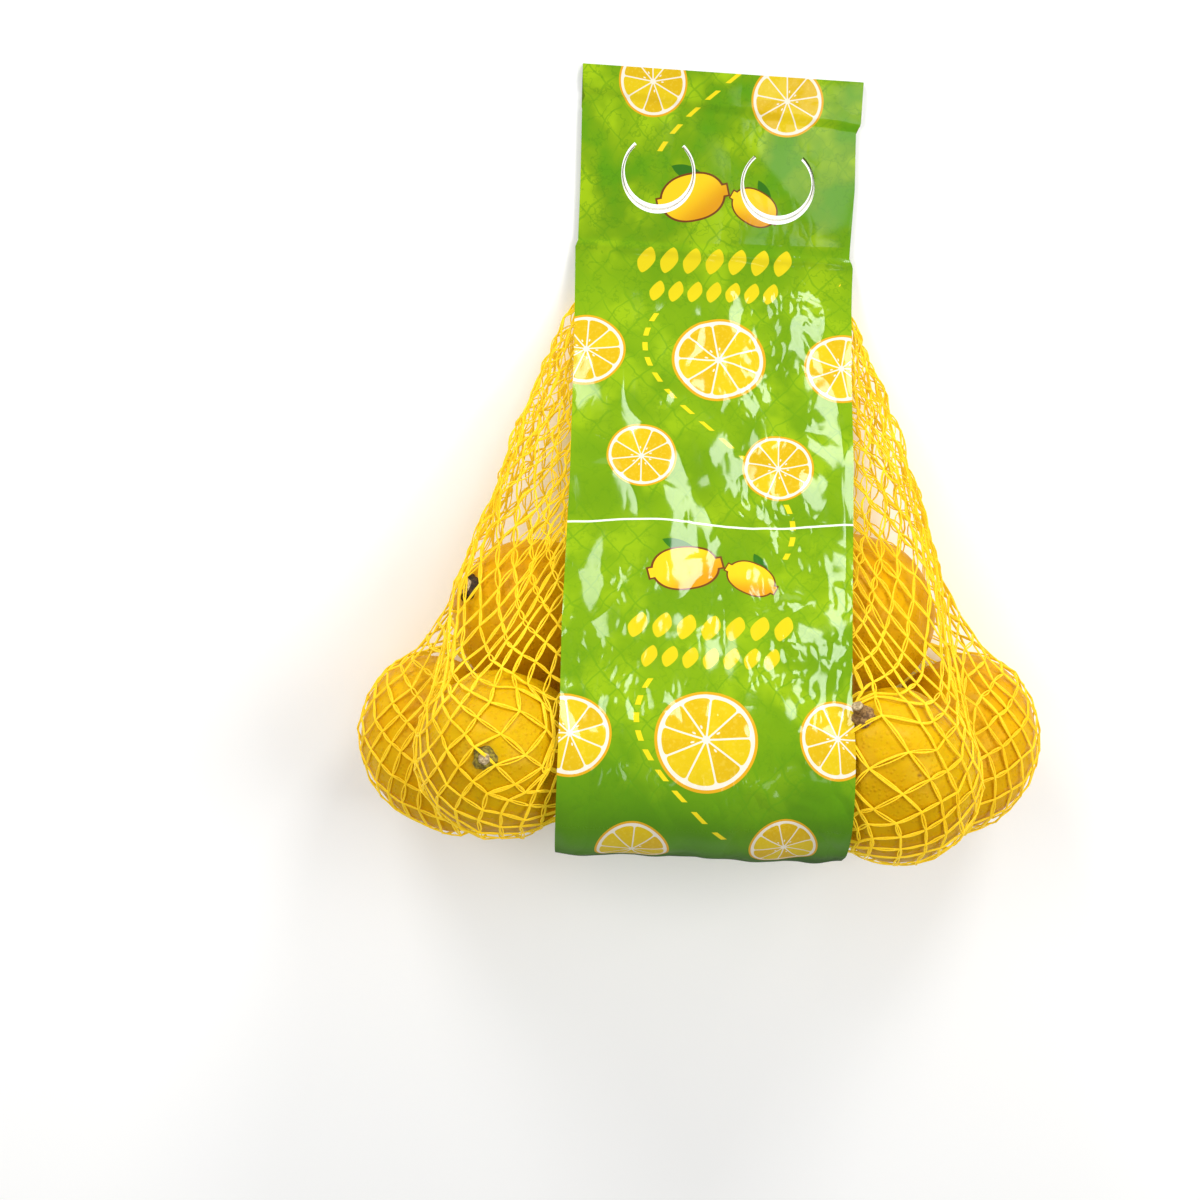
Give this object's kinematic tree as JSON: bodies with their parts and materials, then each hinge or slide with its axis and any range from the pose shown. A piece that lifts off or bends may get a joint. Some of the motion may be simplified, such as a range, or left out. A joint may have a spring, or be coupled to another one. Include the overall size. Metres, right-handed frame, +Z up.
{
  "type": "net of lemons",
  "caption": "Retail net bag of lemons lying on its back: bulging net tube inside a folded printed film label with two carrying slits in its flat header.",
  "frame": {"origin": "middle of the bag's bounding box at the surface that it lies on", "axes": "+Y along the label towards its header, +Z up out of the shown side, +X to the right as the label is read"},
  "size_m": [0.2512, 0.2784, 0.1171],
  "materials": {
    "net": "satin",
    "film": "gloss",
    "peel": "satin",
    "stem": "matte"
  },
  "bodies": {
    "root": {"net_of_lemons": "net", "film_label": "film"}
  },
  "joints": []
}
